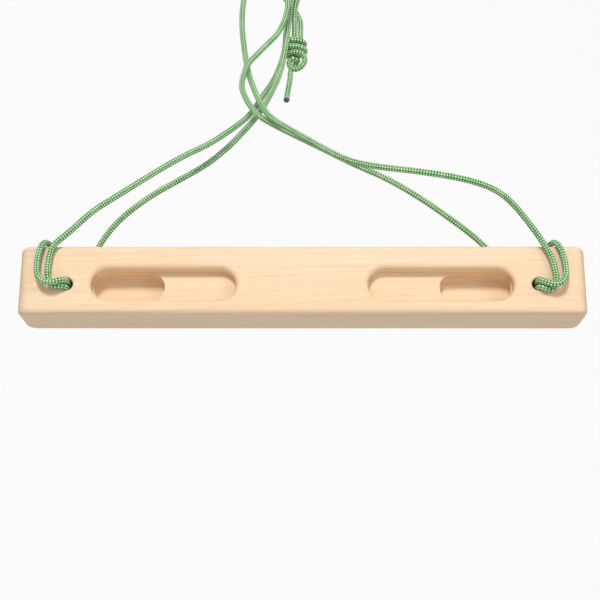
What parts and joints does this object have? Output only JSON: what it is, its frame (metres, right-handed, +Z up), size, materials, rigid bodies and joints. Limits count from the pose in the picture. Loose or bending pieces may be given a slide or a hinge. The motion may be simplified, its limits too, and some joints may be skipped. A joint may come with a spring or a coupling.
{
  "type": "portable climbing hangboard",
  "caption": "Rounded hardwood finger-training beam with two stepped finger slots, hung on a knotted braided cord sling.",
  "frame": {"origin": "hang point: the top of the sling, where its bights pass over whatever holds the board", "axes": "+X along the beam, +Y from the slotted front face to the back, +Z up"},
  "size_m": [0.56, 0.1418, 0.4275],
  "materials": {
    "hardwood": "sanded, unvarnished pale hardwood",
    "cord": "braided polyamide sheath, green with pale flecks",
    "melted_cord": "cord end sealed with a flame"
  },
  "bodies": {
    "root": {"beam": "hardwood", "sling_left_front": "cord", "sling_left_wrap": "cord", "sling_left_back": "cord", "sling_right_front": "cord", "sling_right_wrap": "cord", "sling_right_back": "cord", "knot": "cord", "tail": "cord", "tail_tip": "melted_cord"}
  },
  "joints": []
}
